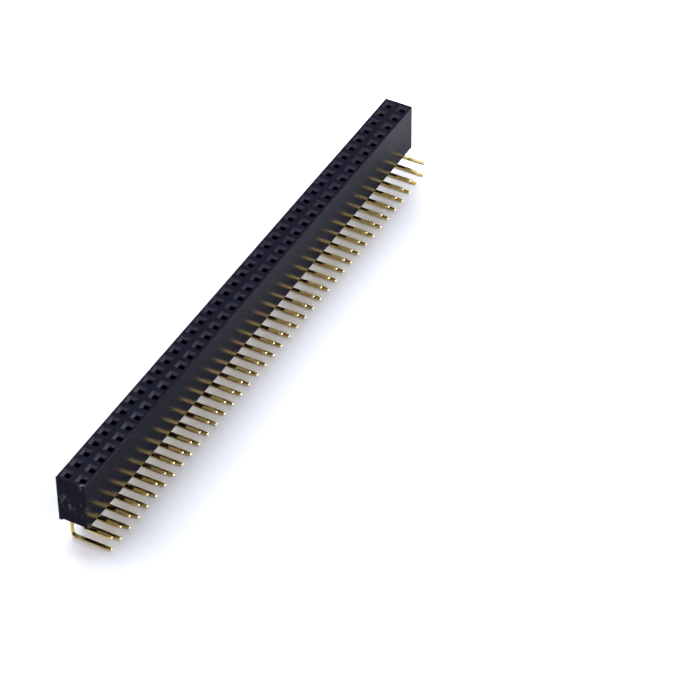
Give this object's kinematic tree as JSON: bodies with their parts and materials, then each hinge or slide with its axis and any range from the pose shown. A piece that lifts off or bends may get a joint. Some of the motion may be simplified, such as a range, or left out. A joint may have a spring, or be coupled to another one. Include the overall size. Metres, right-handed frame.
{
  "type": "female pin header",
  "caption": "Long straight two-row socket strip for square pins, with right-angle gold solder tails bent out to one side of a black moulded housing.",
  "frame": {"origin": "bottom centre of the box round the whole part, on the surface that the lower tails stand on", "axes": "+X along the rows, -Y towards the ends of the solder tails, +Z out of the sockets"},
  "size_m": [0.102, 0.0082, 0.0125],
  "materials": {
    "black_plastic": "semi-gloss moulded black, slightly blue, with fine draw lines along the sides",
    "gold_plate": "thin pale gold plating on stamped spring strip, bright along sheared edges"
  },
  "bodies": {
    "root": {"housing": "black_plastic", "contact_pair_01": "gold_plate", "contact_pair_02": "gold_plate", "contact_pair_03": "gold_plate", "contact_pair_04": "gold_plate", "contact_pair_05": "gold_plate", "contact_pair_06": "gold_plate", "contact_pair_07": "gold_plate", "contact_pair_08": "gold_plate", "contact_pair_09": "gold_plate", "contact_pair_10": "gold_plate", "contact_pair_11": "gold_plate", "contact_pair_12": "gold_plate", "contact_pair_13": "gold_plate", "contact_pair_14": "gold_plate", "contact_pair_15": "gold_plate", "contact_pair_16": "gold_plate", "contact_pair_17": "gold_plate", "contact_pair_18": "gold_plate", "contact_pair_19": "gold_plate", "contact_pair_20": "gold_plate", "contact_pair_21": "gold_plate", "contact_pair_22": "gold_plate", "contact_pair_23": "gold_plate", "contact_pair_24": "gold_plate", "contact_pair_25": "gold_plate", "contact_pair_26": "gold_plate", "contact_pair_27": "gold_plate", "contact_pair_28": "gold_plate", "contact_pair_29": "gold_plate", "contact_pair_30": "gold_plate", "contact_pair_31": "gold_plate", "contact_pair_32": "gold_plate", "contact_pair_33": "gold_plate", "contact_pair_34": "gold_plate", "contact_pair_35": "gold_plate", "contact_pair_36": "gold_plate", "contact_pair_37": "gold_plate", "contact_pair_38": "gold_plate", "contact_pair_39": "gold_plate", "contact_pair_40": "gold_plate"}
  },
  "joints": []
}
